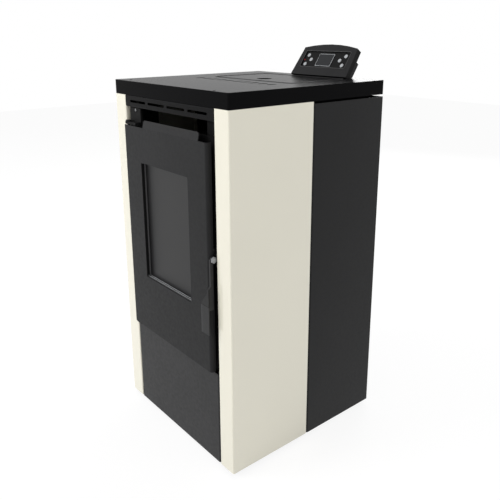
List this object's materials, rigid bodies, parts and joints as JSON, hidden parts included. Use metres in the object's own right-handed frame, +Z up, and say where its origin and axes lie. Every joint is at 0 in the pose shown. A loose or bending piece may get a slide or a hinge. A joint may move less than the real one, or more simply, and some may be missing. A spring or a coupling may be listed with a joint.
{
  "type": "pellet stove",
  "caption": "Compact free-standing pellet stove with cream front columns, glazed fire door, top hopper lid and tilted control console.",
  "frame": {"origin": "middle of the object's box, on the floor", "axes": "+Z up, the fire door faces -Y, its hinge is on the -X side"},
  "size_m": [0.4, 0.4666, 0.8286],
  "materials": {
    "cream": "glossy cream enamel on sheet steel",
    "black": "satin black paint on sheet steel",
    "door": "fine textured charcoal paint",
    "top": "semi-gloss black enamel",
    "iron": "raw cast iron, matt",
    "zinc": "zinc plated sheet steel",
    "steel": "bare steel, brushed",
    "motor": "motor and gearbox, bare metal",
    "glass": "dark ceramic fire glass",
    "rope": "glass-fibre rope",
    "plastic": "black plastic, fine grain",
    "mineral": "pressed mineral board",
    "ceramic": "igniter ceramic",
    "board": "printed circuit board with parts",
    "bright": "bright silver finish"
  },
  "bodies": {
    "stove": {"base_pan": "black", "foot_front_left": "zinc", "foot_front_right": "zinc", "foot_rear_left": "zinc", "foot_rear_right": "zinc", "cream_panel_left": "cream", "cream_panel_right": "cream", "rear_side_panel_left": "black", "rear_side_panel_right": "black", "inner_frame_left": "black", "inner_frame_right": "black", "back_panel": "black", "top_plate": "top", "lower_front_panel": "door", "front_grille": "black", "hopper_tank": "zinc", "auger_tube": "zinc", "auger_gearmotor": "motor", "pellet_chute": "steel", "firebox": "black", "fireback_plate": "iron", "baffle_plate": "mineral", "burn_pot_holder": "steel", "igniter": "ceramic", "air_inlet_pipe": "zinc", "hinge_bracket_top": "black", "hinge_pin_top": "zinc", "hinge_bracket_bottom": "black", "latch_keeper": "zinc", "smoke_fan_housing": "zinc", "smoke_fan_motor": "motor", "flue_spigot": "zinc", "smoke_duct": "steel", "room_fan_housing": "zinc", "room_fan_motor": "motor", "control_board": "board", "power_inlet": "plastic", "console_bezel": "plastic", "console_housing": "plastic", "display_screen": "bright"},
    "door": {"door_panel": "door", "door_frame": "door", "door_glass": "glass", "glass_retainer": "steel", "door_gasket": "rope", "handle_bolt": "bright"},
    "handle": {"door_handle": "black"},
    "lid": {"hopper_lid": "top"},
    "drawer": {"ash_drawer": "steel"},
    "pot": {"burn_pot": "iron"},
    "auger": {"auger_screw": "steel"},
    "smoke_impeller": {"smoke_fan_impeller": "steel"},
    "room_rotor": {"room_fan_rotor": "steel"},
    "rocker": {"rocker_switch": "plastic"},
    "key_1_body": {"key_1": "bright"},
    "key_2_body": {"key_2": "bright"},
    "key_3_body": {"key_3": "bright"},
    "key_4_body": {"key_4": "bright"},
    "key_5_body": {"key_5": "bright"},
    "key_6_body": {"key_6": "bright"}
  },
  "joints": [
    {"name": "door_swing", "type": "hinge", "parent": "stove", "child": "door", "pos_m": [-0.142, -0.22045, 0.436], "axis": [0, 0, -1], "range_deg": [0, 105]},
    {"name": "handle_lift", "type": "hinge", "parent": "door", "child": "handle", "pos_m": [0.15, -0.22025, 0.452], "axis": [-1, 0, 0], "range_deg": [0, 45]},
    {"name": "lid_lift", "type": "hinge", "parent": "stove", "child": "lid", "pos_m": [0.008, 0.14375, 0.7605], "axis": [-1, 0, 0], "range_deg": [0, 95]},
    {"name": "ash_drawer_slide", "type": "slide", "parent": "stove", "child": "drawer", "axis": [0, -1, 0], "range_m": [0, 0.13]},
    {"name": "burn_pot_lift", "type": "slide", "parent": "stove", "child": "pot", "axis": [0, 0, 1], "range_m": [0, 0.05]},
    {"name": "auger_spin", "type": "hinge", "parent": "stove", "child": "auger", "pos_m": [0.008, 0.09775, 0.382], "axis": [0, -0.7071, 0.7071], "continuous": true},
    {"name": "smoke_fan_spin", "type": "hinge", "parent": "stove", "child": "smoke_impeller", "pos_m": [-0.088, 0.07775, 0.128], "axis": [1, 0, 0], "continuous": true},
    {"name": "room_fan_spin", "type": "hinge", "parent": "stove", "child": "room_rotor", "pos_m": [0.034, 0.00775, 0.12], "axis": [1, 0, 0], "continuous": true},
    {"name": "rocker_tilt", "type": "hinge", "parent": "stove", "child": "rocker", "pos_m": [0.118, 0.18405, 0.079], "axis": [1, 0, 0], "range_deg": [0, 16]},
    {"name": "key_1_press", "type": "slide", "parent": "stove", "child": "key_1_body", "axis": [0, 0.8161, -0.5779], "range_m": [0, 0.0008], "stiffness_N_per_m": 400, "springref_m": -0.0005},
    {"name": "key_2_press", "type": "slide", "parent": "stove", "child": "key_2_body", "axis": [0, 0.8161, -0.5779], "range_m": [0, 0.0008], "stiffness_N_per_m": 400, "springref_m": -0.0005},
    {"name": "key_3_press", "type": "slide", "parent": "stove", "child": "key_3_body", "axis": [0, 0.8161, -0.5779], "range_m": [0, 0.0008], "stiffness_N_per_m": 400, "springref_m": -0.0005},
    {"name": "key_4_press", "type": "slide", "parent": "stove", "child": "key_4_body", "axis": [0, 0.8161, -0.5779], "range_m": [0, 0.0008], "stiffness_N_per_m": 400, "springref_m": -0.0005},
    {"name": "key_5_press", "type": "slide", "parent": "stove", "child": "key_5_body", "axis": [0, 0.8161, -0.5779], "range_m": [0, 0.0008], "stiffness_N_per_m": 400, "springref_m": -0.0005},
    {"name": "key_6_press", "type": "slide", "parent": "stove", "child": "key_6_body", "axis": [0, 0.8161, -0.5779], "range_m": [0, 0.0008], "stiffness_N_per_m": 400, "springref_m": -0.0005}
  ],
  "couplings": [
    {"joint": "ash_drawer_slide", "follows": "door_swing", "m_per_rad": 0.0709}
  ]
}
